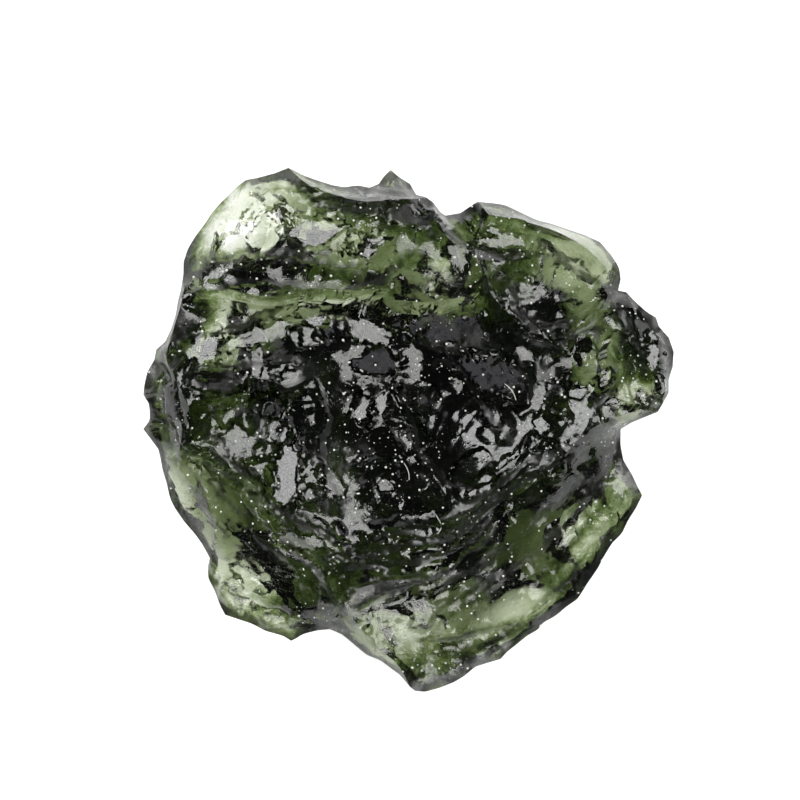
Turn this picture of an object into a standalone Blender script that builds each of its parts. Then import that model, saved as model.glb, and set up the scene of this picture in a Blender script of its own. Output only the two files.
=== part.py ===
"""A raw moldavite: one lump of green natural glass, broken and etched, lying on its flattest side.

The stone is two skins that share one outline. Each skin is hung between named crest lines, the sharp
ridges where two fractures meet, and pulled in between them as conchoidal fractures are. The upper skin
holds the broken dish, the rolls above it and the flanges below it. The lower skin holds the keels and
the small flat that the stone rests on.

Frame: origin on the resting flat, under the middle of the stone, +Z up.
"""

import math

import bmesh
import bpy
import numpy as np
from mathutils import Vector
from mathutils.geometry import delaunay_2d_cdt
from mathutils.kdtree import KDTree

MM = 0.001

# Driving dimensions, in millimetres
UPPER_STEP = 0.50  # spacing of the points on the upper skin
LOWER_STEP = 0.56  # and on the lower skin
EDGE_STEP = 0.42  # longest stretch between two points of the outline
UPPER_PULL = 0.16  # how hard the upper skin is pulled in between its crests, per millimetre
LOWER_BELLY = 0.027  # how full the lower skin hangs, for each millimetre of the edge's height
JITTER = 0.16  # how far a filling point strays, as a share of the spacing
CLEAR = 0.62  # nearest that a filling point comes to a line, as a share of the spacing
RIM_DROP = 0.65  # the lower skin falls this far just inside the rim, which leaves the rim blunt
RIM_WIDTH = 0.7  # it does so over this distance
RIM_REACH = 3.2  # and is back in its own place at this one
PIT_COUNT = 46  # etched pits strewn over the lower skin
PIT_RADIUS = (0.9, 2.2)
PIT_DEPTH = 0.34  # of its radius
EDGE_SHELTER = 1.8  # nearer to the outline than this, pits get shallower
PIT_PLACES = (4.6, 12.0)  # how far out the pits lie, clear of the foot
LOWEST = 0.06  # nothing outside the foot comes lower than this
SAME_POINT = 0.0001  # points nearer to each other than this are one
SHARP_ANGLE = 25.0  # degrees; a sharper edge is a crest, and isn't shaded smooth
EDGE_SHARE = 0.25  # share of an edge's squared length that loads each of its ends
SETTLED = 1e-16  # the skin has settled when its squared error is below this
SEED = 11

# The outline seen from above, anticlockwise from the peak at the top: x, y and the height of the edge
OUTLINE = [
    # brow and left shoulder
    (-5.50, 12.95, 8.4), (-6.15, 12.70, 8.2), (-7.00, 12.50, 7.6), (-7.65, 12.40, 7.2),
    (-8.00, 12.15, 7.0), (-8.90, 11.30, 6.7), (-9.35, 10.80, 6.6), (-9.70, 10.25, 6.5),
    (-10.20, 9.60, 6.4), (-10.55, 9.00, 6.5), (-10.75, 8.35, 6.6), (-10.75, 7.75, 6.8),
    (-10.85, 7.00, 7.0), (-11.00, 6.40, 7.2), (-11.10, 5.75, 7.2), (-11.35, 5.00, 7.0),
    (-11.65, 4.40, 6.8), (-12.10, 4.00, 6.7), (-12.20, 3.50, 6.6), (-12.55, 2.90, 6.6),
    (-12.70, 2.25, 6.6), (-12.75, 1.75, 6.5), (-12.50, 1.35, 6.4), (-12.45, 1.00, 6.2),
    (-12.45, 0.50, 6.0), (-12.80, 0.05, 5.7), (-12.50, -0.35, 5.6), (-12.05, -0.95, 5.7),
    # lower left flange
    (-11.95, -1.40, 5.5), (-11.85, -2.00, 5.4), (-11.65, -2.65, 5.3), (-11.50, -3.40, 5.2),
    (-11.25, -3.90, 5.2), (-10.80, -4.55, 5.2), (-10.20, -5.25, 5.2), (-9.85, -5.75, 5.2),
    (-9.50, -6.40, 5.2), (-9.60, -6.80, 5.0), (-9.60, -7.40, 4.9), (-9.25, -8.10, 4.8),
    (-9.00, -8.80, 4.8), (-8.75, -9.25, 4.8), (-8.00, -9.50, 4.8), (-7.40, -9.70, 4.8),
    (-6.75, -10.05, 4.8), (-5.85, -10.30, 4.8), (-5.45, -10.55, 4.8), (-5.15, -10.40, 4.9),
    (-4.85, -10.20, 5.0), (-4.10, -10.00, 5.2), (-3.50, -9.95, 5.3), (-2.90, -10.20, 5.3),
    (-2.25, -10.75, 5.2), (-1.65, -11.25, 5.2), (-1.00, -11.50, 5.1), (-0.60, -11.80, 5.1),
    # lower right flange
    (0.00, -12.25, 5.0), (0.50, -12.85, 5.0), (0.75, -13.05, 4.9), (1.25, -13.10, 4.9),
    (2.00, -12.90, 4.8), (2.75, -12.60, 4.8), (3.30, -12.25, 4.8), (3.75, -11.85, 4.8),
    (4.40, -11.65, 4.8), (5.05, -11.45, 4.8), (5.35, -11.10, 4.8), (5.75, -10.80, 4.8),
    (6.35, -10.30, 4.8), (6.90, -10.00, 4.8), (7.15, -9.65, 4.8), (7.80, -9.30, 4.8),
    (8.30, -8.85, 4.9), (8.90, -8.45, 4.9), (9.35, -7.70, 5.0), (9.90, -6.90, 5.1),
    (10.20, -6.30, 5.1), (10.60, -5.65, 5.2), (11.10, -5.15, 5.2), (11.40, -4.50, 5.2),
    (11.80, -3.90, 5.2), (12.10, -3.25, 5.2), (11.90, -2.90, 5.3), (11.60, -2.25, 5.3),
    (11.15, -1.50, 5.4), (11.00, -0.75, 5.5), (11.00, 0.05, 5.7),
    # right ear
    (11.50, 0.35, 5.8), (12.05, 0.60, 6.2), (12.80, 0.90, 6.6), (13.00, 1.25, 6.8),
    (13.35, 1.85, 6.5), (13.35, 2.50, 6.5), (13.55, 3.15, 6.5), (13.60, 3.90, 6.5),
    (13.35, 4.60, 6.6), (12.85, 5.15, 6.8), (12.70, 5.60, 6.8), (12.25, 5.85, 7.0),
    (11.65, 6.40, 6.9), (11.25, 6.85, 6.6), (10.85, 6.95, 6.2),
    # upper right lobe
    (11.00, 7.50, 5.7), (10.95, 8.10, 5.4), (10.55, 8.75, 5.2), (10.00, 9.40, 5.0),
    (9.25, 9.75, 4.9), (8.50, 10.00, 4.8), (7.50, 10.35, 4.8), (6.85, 10.50, 4.9),
    (6.00, 10.90, 5.0), (5.25, 11.25, 5.1), (4.50, 11.35, 5.3), (3.85, 11.40, 5.5),
    (3.50, 11.15, 5.8), (3.00, 10.80, 6.2), (2.25, 10.65, 7.0),
    # brow from the right, with the little peak behind it
    (2.00, 10.80, 7.5), (1.65, 11.25, 8.0), (1.30, 11.50, 8.1), (0.80, 11.65, 7.8),
    (0.50, 12.20, 7.4), (-0.05, 12.55, 7.2), (-0.45, 12.90, 7.1), (-0.75, 12.65, 7.2),
    (-1.05, 12.20, 7.5), (-1.50, 12.00, 7.8), (-2.10, 12.10, 8.0), (-2.75, 12.00, 8.2),
    (-3.35, 12.10, 8.3), (-4.00, 12.30, 8.4), (-4.70, 12.55, 8.4),
]

# Lines of the upper skin: x, y and height
UPPER_LINES = {
    "brow": [
        (-5.50, 12.95, 8.4), (-4.75, 12.25, 9.5), (-4.00, 11.90, 9.9), (-3.00, 11.50, 10.1),
        (-2.10, 11.35, 10.2), (-1.00, 11.15, 10.2), (0.10, 11.35, 9.8), (1.30, 11.50, 8.1),
    ],
    "divide": [
        (1.65, 11.25, 8.0), (1.80, 10.50, 9.2), (2.10, 9.85, 9.4), (2.60, 9.25, 9.2),
        (3.50, 8.80, 9.0), (3.80, 8.35, 8.9), (4.10, 7.75, 8.8), (4.30, 7.15, 8.7),
        (4.60, 6.55, 8.6), (5.10, 6.00, 8.5), (5.60, 5.45, 8.4), (5.95, 5.00, 8.4),
        (6.30, 4.60, 8.4),
    ],
    "divide_bevel": [(2.25, 10.65, 7.0), (2.65, 9.90, 8.2), (3.05, 9.30, 8.6), (3.50, 8.80, 9.0)],
    "scoop_lip": [
        (6.30, 4.60, 8.4), (7.00, 4.45, 8.3), (7.75, 4.55, 8.2), (8.40, 4.80, 8.1),
        (8.90, 5.25, 8.1), (9.40, 5.60, 8.1), (10.00, 5.90, 8.0), (10.60, 6.30, 7.6),
        (10.85, 6.95, 6.2),
    ],
    "scoop_ledge": [
        (3.80, 8.35, 8.9), (4.75, 8.40, 8.4), (5.75, 8.45, 8.0), (6.50, 8.75, 7.6),
        (7.25, 9.00, 7.2), (7.90, 8.40, 7.2), (8.60, 7.65, 7.2), (9.50, 7.20, 7.0),
        (10.20, 7.00, 6.8), (10.85, 6.95, 6.2),
    ],
    "lobe_valley": [
        (2.95, 10.15, 7.0), (3.40, 9.80, 6.7), (4.00, 9.60, 6.5), (5.00, 9.65, 6.3),
        (5.90, 9.85, 6.1), (6.75, 9.70, 6.0), (7.50, 9.40, 5.9), (8.10, 8.90, 5.9),
        (8.60, 8.40, 6.0), (9.50, 7.75, 6.1),
    ],
    "lobe_shoulder": [
        (4.40, 10.70, 7.0), (6.00, 10.40, 6.8), (7.80, 9.85, 6.7), (9.30, 9.00, 6.7),
        (10.20, 8.10, 6.6),
    ],
    "ear_inner": [
        (10.60, 6.30, 7.6), (10.95, 5.25, 7.8), (10.85, 4.25, 7.9), (10.80, 3.40, 7.9),
        (10.55, 2.60, 7.9), (10.15, 1.90, 8.0), (9.65, 1.10, 8.1), (9.15, -0.10, 8.2),
    ],
    "ear_crest": [
        (11.25, 6.85, 6.6), (11.55, 6.00, 7.6), (11.85, 5.25, 7.9), (12.20, 4.50, 8.0),
        (12.50, 3.75, 8.0), (12.80, 3.00, 7.9), (13.05, 2.25, 7.7), (13.10, 1.70, 7.4),
        (13.00, 1.25, 6.8),
    ],
    "right_rim": [
        (12.80, 0.90, 6.6), (12.00, 0.95, 7.4), (11.10, 0.70, 7.8), (10.30, 0.50, 8.0),
        (9.15, -0.10, 8.2), (8.50, -0.75, 8.3), (8.00, -1.40, 8.3), (7.40, -2.00, 8.3),
        (6.70, -2.50, 8.3), (6.00, -3.10, 8.3), (5.15, -3.40, 8.3), (4.40, -3.90, 8.3),
        (3.75, -4.50, 8.3), (3.20, -5.05, 8.3), (2.80, -5.65, 8.2), (2.25, -6.30, 8.1),
        (1.50, -7.10, 8.0), (0.50, -7.35, 7.9), (-0.50, -7.40, 7.8), (-1.50, -7.65, 7.6),
        (-2.40, -8.00, 7.5), (-2.75, -8.55, 7.4),
    ],
    "left_rim": [
        (-11.95, -1.40, 5.5), (-11.00, -2.00, 6.8), (-10.00, -2.40, 7.3), (-8.90, -2.70, 7.4),
        (-8.00, -3.25, 7.5), (-7.40, -4.00, 7.6), (-6.90, -4.90, 7.6), (-6.25, -5.70, 7.6),
        (-5.50, -6.30, 7.6), (-4.60, -6.70, 7.5), (-4.00, -7.40, 7.5), (-3.35, -8.00, 7.4),
        (-2.75, -8.55, 7.4),
    ],
    "keel_between_flanges": [
        (-2.75, -8.55, 7.4), (-2.45, -9.25, 7.0), (-1.75, -10.00, 6.6), (-1.00, -10.90, 6.2),
        (-0.10, -11.70, 5.8), (0.50, -12.85, 5.0),
    ],
    "left_flange_fold": [
        (-10.00, -2.40, 7.3), (-9.60, -3.40, 7.1), (-9.30, -4.40, 6.9), (-9.05, -5.30, 6.6),
        (-9.10, -5.95, 6.1), (-9.50, -6.40, 5.2),
    ],
    "left_flange_step": [
        (-8.70, -8.00, 5.9), (-7.70, -7.90, 6.2), (-6.40, -8.50, 6.1), (-5.00, -8.90, 6.2),
    ],
    "right_flange_step": [
        (-1.30, -9.10, 6.8), (0.50, -9.00, 6.9), (2.40, -8.60, 6.9), (4.30, -7.90, 6.8),
        (6.10, -6.60, 6.7), (7.90, -4.90, 6.6), (9.40, -3.20, 6.4), (10.40, -1.90, 5.9),
    ],
    "right_flange_edge": [
        (5.60, -9.80, 5.7), (7.40, -8.60, 5.6), (8.80, -7.00, 5.6), (10.00, -5.20, 5.7),
        (11.10, -3.40, 5.8),
    ],
    "inner_ridge": [
        (-11.60, -1.35, 6.8), (-10.50, -1.45, 7.4), (-9.60, -1.60, 7.6), (-8.90, -2.10, 7.6),
        (-8.00, -2.50, 7.6), (-7.20, -3.00, 7.5), (-6.50, -3.50, 7.4), (-5.75, -3.80, 7.2),
        (-4.75, -3.95, 7.0), (-3.90, -4.35, 6.8), (-3.35, -4.90, 6.7), (-2.70, -5.90, 6.6),
    ],
    "ribbon": [
        (-10.65, 6.90, 7.9), (-11.00, 5.60, 8.0), (-11.30, 4.75, 8.1), (-11.55, 3.75, 8.2),
        (-11.35, 3.00, 8.3), (-10.95, 2.25, 8.4), (-10.50, 1.50, 8.5), (-10.40, 0.75, 8.5),
        (-10.60, 0.00, 8.3), (-10.95, -0.75, 7.8), (-11.60, -1.35, 6.8),
    ],
    "ribbon_groove": [
        (-12.10, 2.50, 7.1), (-11.75, 1.50, 7.2), (-11.70, 0.80, 7.2), (-12.05, 0.20, 6.7),
    ],
    "roll_lip": [
        (-10.25, 6.90, 8.1), (-9.65, 7.10, 8.3), (-8.40, 6.95, 8.6), (-6.90, 6.65, 8.8),
        (-5.75, 6.65, 8.8), (-4.50, 7.00, 8.9), (-3.25, 6.85, 8.9), (-2.00, 6.80, 8.8),
        (-1.10, 7.00, 8.6), (-0.60, 7.50, 8.4), (-0.20, 8.10, 8.3),
    ],
    "roll_undercut": [
        (-9.80, 6.50, 7.2), (-8.40, 6.45, 7.0), (-6.90, 6.20, 6.8), (-5.75, 6.20, 6.7),
        (-4.50, 6.50, 6.7), (-3.25, 6.40, 6.8), (-2.00, 6.35, 6.9), (-1.00, 6.50, 7.0),
    ],
    "roll_spine": [
        (-7.65, 12.40, 7.2), (-6.90, 11.60, 9.0), (-6.40, 10.60, 9.6), (-6.50, 9.50, 9.8),
        (-6.90, 8.70, 9.6), (-6.60, 7.80, 9.2), (-5.75, 6.65, 8.8),
    ],
    "second_roll_lip": [
        (-10.50, 1.50, 8.5), (-9.40, 1.55, 8.2), (-8.40, 1.70, 8.1), (-7.50, 1.95, 8.0),
        (-6.50, 2.10, 7.8), (-5.50, 2.10, 7.5), (-4.40, 2.65, 6.9),
    ],
    "second_roll_foot": [
        (-9.90, 0.90, 6.8), (-8.50, 1.05, 6.3), (-6.90, 1.30, 6.1), (-5.50, 1.25, 6.0),
    ],
    "second_roll_end": [
        (-5.60, 5.70, 7.1), (-5.35, 4.85, 7.5), (-5.00, 4.10, 7.5), (-4.70, 3.25, 7.2),
        (-4.40, 2.65, 6.9),
    ],
    "shelf": [
        (-0.25, 6.45, 7.8), (1.00, 6.35, 8.0), (2.25, 6.30, 8.1), (3.10, 6.50, 8.2),
        (4.30, 7.15, 8.7),
    ],
    "shelf_foot": [(0.00, 5.80, 6.8), (1.50, 5.70, 6.8), (3.00, 5.80, 6.9), (4.20, 6.05, 7.3)],
    "slab_edge": [
        (6.30, 4.60, 8.4), (5.30, 4.20, 7.4), (4.00, 4.15, 7.0), (2.50, 4.25, 6.8), (1.00, 4.15, 6.8),
        (-0.60, 3.90, 6.7),
    ],
    "wedge": [
        (-2.60, 4.60, 7.0), (-0.90, 4.40, 6.9), (-0.60, 3.90, 6.7), (-0.50, 3.00, 6.4),
        (-0.60, 1.90, 6.2), (-1.40, 1.70, 6.1), (-3.00, 2.40, 6.4), (-4.40, 2.65, 6.9),
    ],
    "hole_rim": [
        (1.25, 2.75, 6.3), (1.75, 3.05, 6.6), (2.50, 3.10, 6.7), (3.15, 2.85, 6.7), (3.75, 2.10, 6.7),
        (4.35, 1.35, 6.8), (5.15, 0.60, 7.0), (5.80, -0.10, 7.4), (6.50, -0.85, 7.9),
    ],
    "tongue": [
        (1.00, 0.50, 6.1), (1.75, -0.50, 6.3), (2.60, -1.25, 6.5), (3.40, -2.00, 6.8),
        (4.35, -3.20, 7.2),
    ],
    "inner_wall": [
        (4.35, -3.20, 7.2), (4.60, -2.50, 7.3), (4.90, -1.90, 7.5), (5.60, -1.40, 7.7),
        (6.50, -0.85, 7.9), (7.60, -0.55, 8.0), (9.15, -0.10, 8.2),
    ],
    "gutter": [(5.10, -2.90, 7.5), (5.80, -2.35, 7.5), (6.70, -1.75, 7.6), (7.50, -1.20, 7.7)],
    "flute_top": [
        (-2.70, -5.90, 6.6), (-1.50, -5.25, 6.2), (0.00, -4.90, 6.1), (1.50, -4.50, 6.2),
        (2.75, -4.20, 6.5), (4.35, -3.20, 7.2),
    ],
    "flute": [
        (-2.10, -7.00, 7.2), (-1.00, -6.50, 7.1), (0.20, -6.25, 7.1), (1.40, -5.80, 7.3),
        (2.30, -5.20, 7.5),
    ],
    "spine": [
        (-4.40, 2.65, 6.9), (-4.10, 1.00, 6.3), (-4.00, -0.75, 6.1), (-4.10, -2.00, 6.1),
        (-3.90, -3.20, 6.3), (-3.90, -4.35, 6.8),
    ],
    "ring": [
        (0.25, 1.75, 6.1), (0.75, 0.30, 6.0), (0.95, -1.00, 5.9), (0.60, -2.20, 5.9),
        (0.00, -3.00, 5.8),
    ],
    "right_wall": [
        (6.60, 4.00, 8.0), (7.30, 3.20, 7.4), (7.90, 2.20, 7.2), (8.40, 1.20, 7.4), (8.80, 0.40, 7.9),
    ],
}

# Lines of the lower skin, keels first and then the gullies between them
LOWER_LINES = {
    "keel_east": [
        (3.40, -0.60, 0.0), (6.20, 0.90, 1.3), (8.40, 0.60, 2.7), (10.60, 1.90, 4.3),
        (12.40, 3.00, 5.6),
    ],
    "keel_north": [
        (-1.00, 2.30, 0.0), (-0.60, 4.60, 1.2), (-2.90, 7.20, 4.5), (-3.30, 9.60, 6.7),
        (-4.90, 11.40, 7.5),
    ],
    "keel_west": [
        (-3.20, 0.90, 0.0), (-5.40, 0.60, 1.6), (-7.80, 2.90, 4.5), (-9.80, 2.60, 5.3),
        (-11.50, 3.60, 5.9),
    ],
    "keel_south": [(-2.00, -2.30, 0.0), (-2.20, -4.80, 0.9), (-4.90, -6.80, 2.9), (-5.60, -9.20, 4.2)],
    "keel_south_east": [(1.40, -2.60, 0.0), (3.60, -4.60, 1.1), (3.20, -7.40, 3.3), (5.20, -9.90, 4.2)],
    "spur_north_east": [(6.20, 0.90, 1.3), (6.40, 3.60, 2.4), (8.10, 6.30, 3.8), (7.60, 8.60, 4.2)],
    "spur_north_west": [(-2.90, 7.20, 4.5), (-5.40, 7.60, 5.4), (-7.80, 9.60, 6.0)],
    "spur_west": [(-4.90, -6.80, 2.9), (-7.40, -5.20, 4.1), (-9.60, -4.60, 4.7)],
    "spur_east": [(3.60, -4.60, 1.1), (6.60, -3.40, 2.8), (8.90, -4.90, 4.0), (10.60, -4.60, 4.4)],
    "gully_north": [(1.60, 4.40, 2.4), (2.70, 6.90, 4.1), (2.40, 9.10, 5.8)],
    "gully_west": [(-5.20, -1.60, 2.0), (-7.60, -1.00, 3.5), (-10.20, -0.90, 4.6)],
    "gully_south": [(0.30, -5.00, 1.8), (-0.90, -7.60, 3.6), (-0.40, -10.00, 4.5)],
}

# The flat that the stone rests on
FOOT = [(-3.20, 0.90), (-2.00, -2.30), (1.40, -2.60), (3.40, -0.60), (2.20, 1.80), (-1.00, 2.30)]

# Places where the upper skin is blown out (below 0) or scooped deeper: x, y, reach and pull
UPPER_SWELLS = {
    "great_roll": (-2.8, 9.0, 3.0, -0.42),
    "left_cheek": (-8.6, 9.2, 2.2, -0.50),
    "second_roll": (-8.0, 3.9, 2.4, -0.44),
    "upper_scoop": (7.3, 6.7, 2.0, 0.55),
    "far_scoop": (4.3, 9.2, 1.2, 0.40),
    "dark_hole": (2.7, 1.4, 1.1, 0.90),
    "slab": (2.2, 5.0, 2.0, 0.10),
    "right_bowl": (9.2, 3.0, 1.5, 0.25),
    "left_flange": (-8.2, -6.4, 3.4, -0.20),
    "right_flange": (4.6, -7.4, 3.6, -0.20),
    "right_flange_end": (9.6, -3.6, 2.6, -0.16),
    "flange_tip": (0.0, -9.8, 2.2, -0.10),
    "dish": (-1.5, -1.5, 3.5, 0.10),
}

# Thumb hollows of the lower skin, which leave the glass thin above them: x, y, radius and depth
LOWER_HOLLOWS = {
    "under_cheek": (-7.9, 9.9, 3.4, 2.3),
    "under_roll": (-2.6, 6.3, 2.7, 1.3),
    "under_brow": (-2.6, 9.8, 2.6, 1.0),
    "under_shelf": (2.2, 6.7, 2.2, 0.8),
    "under_scoop": (8.1, 7.5, 1.9, 1.0),
    "under_ear": (9.8, 3.3, 2.1, 1.2),
    "under_left_roll": (-9.4, 4.3, 2.4, 1.4),
    "under_window": (5.4, -8.6, 2.1, 0.9),
    "under_tip": (0.8, -9.6, 1.7, 0.9),
    "under_scar": (8.6, -5.1, 1.7, 1.2),
    "under_corner": (10.0, -2.8, 1.6, 0.8),
    "under_thumb": (-6.6, -7.1, 1.8, 1.3),
}

# Etched pits of the upper skin: x, y, radius of the pit and how deep it is
UPPER_PITS = {
    "flange_window": (5.6, -8.4, 1.5, 0.40),
    "flange_notch": (-7.6, -8.3, 1.1, 0.30),
    "flange_thumb": (-5.9, -7.7, 1.2, 0.30),
    "flange_scar": (8.6, -3.9, 1.3, 0.30),
    "ear_thumb": (11.9, 2.6, 1.1, 0.35),
    "cheek_gouge": (-8.6, 10.0, 0.9, 0.25),
    "brow_gouge": (-5.0, 11.3, 1.0, 0.30),
    "far_gouge": (7.6, 9.1, 0.9, 0.25),
}


def stretch(points, step, smooth):
    """Points along a line, every one of its own among them, no more than a step apart."""
    p = [Vector(point) for point in points]
    found = [p[0]]
    for i in range(len(p) - 1):
        a, b = p[i], p[i + 1]
        before = p[i - 1] if i > 0 else a
        after = p[i + 2] if i + 2 < len(p) else b
        count = max(1, math.ceil((b - a).length / step))
        for k in range(1, count + 1):
            t = k / count
            if smooth:
                spline = (
                    2 * a
                    + (b - before) * t
                    + (2 * before - 5 * a + 4 * b - after) * t**2
                    + (3 * a - before - 3 * b + after) * t**3
                ) / 2
                found.append(spline)
            else:
                found.append(a.lerp(b, t))
    return found


def around(outline, x, y):
    """How far out the outline is in the direction of each point, and how high its edge is there."""
    angles = np.array([math.atan2(p.y, p.x) for p in outline])
    order = np.argsort(angles)
    reach = np.array([math.hypot(p.x, p.y) for p in outline])[order]
    height = np.array([p.z for p in outline])[order]
    toward = np.arctan2(y, x)
    whole_turn = 2 * math.pi
    far = np.interp(toward, angles[order], reach, period=whole_turn)
    return far, np.interp(toward, angles[order], height, period=whole_turn)


def filling(outline, taken, step, random):
    """Scattered points, close to a triangular grid, inside the outline and clear of every line."""
    tree = KDTree(len(taken))
    for i, p in enumerate(taken):
        tree.insert((p.x, p.y, 0), i)
    tree.balance()
    found = []
    row_height = step * math.sqrt(3) / 2
    rows = math.ceil(max(math.hypot(p.x, p.y) for p in outline) / row_height)
    for row in range(-rows, rows + 1):
        for column in range(-rows, rows + 1):
            stray = random.uniform(-JITTER * step, JITTER * step, 2)
            x = (column + 0.5 * (row % 2)) * step + stray[0]
            y = row * row_height + stray[1]
            if math.hypot(x, y) > around(outline, x, y)[0] - CLEAR * step:
                continue
            if tree.find((x, y, 0))[2] < CLEAR * step:
                continue
            found.append(Vector((x, y, 0)))
    return found


def triangulate(points, edges, rim_loop):
    """Joins points into triangles inside the rim, so that every given edge is kept."""
    flat = [Vector((p.x, p.y)) for p in points]
    found, _, faces, origin, _, within = delaunay_2d_cdt(flat, edges, [rim_loop], 0, SAME_POINT, True)
    return found, np.array([face for face, loops in zip(faces, within) if loops]), origin


def chords(triangles, rim):
    """Edges that cut a corner off the outline: both ends are on it, and two triangles share them."""
    ends = np.concatenate([triangles[:, [0, 1]], triangles[:, [1, 2]], triangles[:, [2, 0]]])
    ends, uses = np.unique(np.sort(ends, axis=1), axis=0, return_counts=True)
    return [(a, b) for a, b in ends[uses == 2] if a in rim and b in rim]


def net(outline, lines, step, random):
    """A triangle net whose edges run along the outline and every line: points, triangles, known, rim."""
    points = list(outline)
    place = {(round(p.x, 3), round(p.y, 3)): i for i, p in enumerate(points)}
    edges = [(i, (i + 1) % len(outline)) for i in range(len(outline))]
    for line in lines:
        path = []
        for p in line:
            spot = (round(p.x, 3), round(p.y, 3))
            if spot not in place:
                place[spot] = len(points)
                points.append(p)
            path.append(place[spot])
        edges += list(zip(path, path[1:]))
    known_count = len(points)
    points += filling(outline, points, step, random)
    rim_loop = list(range(len(outline)))
    found, triangles, origin = triangulate(points, edges, rim_loop)
    on_rim = {i for i, sources in enumerate(origin) if sources and min(sources) < len(outline)}
    points += [((found[a] + found[b]) / 2).to_3d() for a, b in chords(triangles, on_rim)]
    found, triangles, origin = triangulate(points, edges, rim_loop)
    xyz = np.zeros((len(found), 3))
    known = np.zeros(len(found), bool)
    rim = {}
    for i, sources in enumerate(origin):
        xyz[i, :2] = found[i]
        given = [s for s in sources if s < known_count]
        if given:
            xyz[i, 2] = points[given[0]].z
            known[i] = True
        for s in given:
            if s < len(outline):
                rim[s] = i
    return xyz, triangles, known, rim


def hang(xyz, triangles, known, pull):
    """Sets the height of every free point, so that the skin hangs between its lines under the pull."""
    ends = np.concatenate([triangles[:, [0, 1]], triangles[:, [1, 2]], triangles[:, [2, 0]]])
    ends = np.unique(np.sort(ends, axis=1), axis=0)
    a, b = ends[:, 0], ends[:, 1]
    size = len(xyz)
    length2 = ((xyz[a, :2] - xyz[b, :2]) ** 2).sum(1)
    load = np.bincount(a, length2, size) + np.bincount(b, length2, size)
    free = ~known

    def stiffness(z):
        slope = z[a] - z[b]
        return np.bincount(a, slope, size) - np.bincount(b, slope, size)

    z = np.where(known, xyz[:, 2], xyz[known, 2].mean())
    residual = np.where(free, -pull * load * EDGE_SHARE - stiffness(z), 0)
    step = residual.copy()
    power = residual @ residual
    while power > SETTLED:
        push = np.where(free, stiffness(step), 0)
        share = power / (step @ push)
        z += share * step
        residual -= share * push
        grown = residual @ residual
        step = residual + grown / power * step
        power = grown
    xyz[:, 2] = z


def inside(x, y, polygon):
    """True for the points that lie in a convex polygon given anticlockwise."""
    found = np.ones(len(x), bool)
    for (ax, ay), (bx, by) in zip(polygon, polygon[1:] + polygon[:1]):
        found &= (bx - ax) * (y - ay) - (by - ay) * (x - ax) > -1e-6
    return found


def press_pits(xyz, pits, side, outline, movable):
    """Presses each pit into the skin of one side (1 above, -1 below), less deep near the edge."""
    edge = around(outline, xyz[:, 0], xyz[:, 1])[0] - np.hypot(xyz[:, 0], xyz[:, 1])
    give = np.where(movable, np.clip(edge / EDGE_SHELTER, 0, 1), 0)
    for x, y, radius, depth in pits:
        away = np.hypot(xyz[:, 0] - x, xyz[:, 1] - y)
        bowl = depth * (1 - (away / radius) ** 2)
        xyz[:, 2] -= side * give * np.clip(bowl, 0, None)


def upper_skin(outline, random):
    lines = [stretch(line, UPPER_STEP, True) for line in UPPER_LINES.values()]
    xyz, triangles, known, rim = net(outline, lines, UPPER_STEP, random)
    pull = np.full(len(xyz), UPPER_PULL)
    for x, y, reach, strength in UPPER_SWELLS.values():
        away = np.hypot(xyz[:, 0] - x, xyz[:, 1] - y)
        pull += strength * np.exp(-((away / reach) ** 2))
    hang(xyz, triangles, known, pull)
    press_pits(xyz, UPPER_PITS.values(), 1, outline, ~known)
    return xyz, triangles, rim


def lower_skin(outline, random):
    foot_loop = [(x, y, 0.0) for x, y in FOOT + FOOT[:1]]
    lines = [stretch(line, LOWER_STEP, True) for line in LOWER_LINES.values()]
    lines.append(stretch(foot_loop, LOWER_STEP, False))
    xyz, triangles, known, rim = net(outline, lines, LOWER_STEP, random)
    on_foot = inside(xyz[:, 0], xyz[:, 1], FOOT)
    xyz[on_foot, 2] = 0.0
    edge_height = around(outline, xyz[:, 0], xyz[:, 1])[1]
    hang(xyz, triangles, known | on_foot, LOWER_BELLY * edge_height)
    on_rim = np.isin(np.arange(len(xyz)), list(rim.values()))
    from_rim = around(outline, xyz[:, 0], xyz[:, 1])[0] - np.hypot(xyz[:, 0], xyz[:, 1])
    rise = np.clip(from_rim / RIM_WIDTH, 0, 1)
    fade = np.clip((RIM_REACH - from_rim) / (RIM_REACH - RIM_WIDTH), 0, 1)
    xyz[:, 2] -= RIM_DROP * rise * fade * ~(on_rim | on_foot)
    pits = list(LOWER_HOLLOWS.values())
    for _ in range(PIT_COUNT):
        angle = random.uniform(0, 2 * math.pi)
        away = random.uniform(*PIT_PLACES)
        radius = random.uniform(*PIT_RADIUS)
        pits.append((away * math.cos(angle), away * math.sin(angle), radius, PIT_DEPTH * radius))
    press_pits(xyz, pits, -1, outline, ~(on_rim | on_foot))
    xyz[:, 2] = np.where(on_foot, 0, np.clip(xyz[:, 2], LOWEST, None))
    return xyz, triangles, rim


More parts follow.
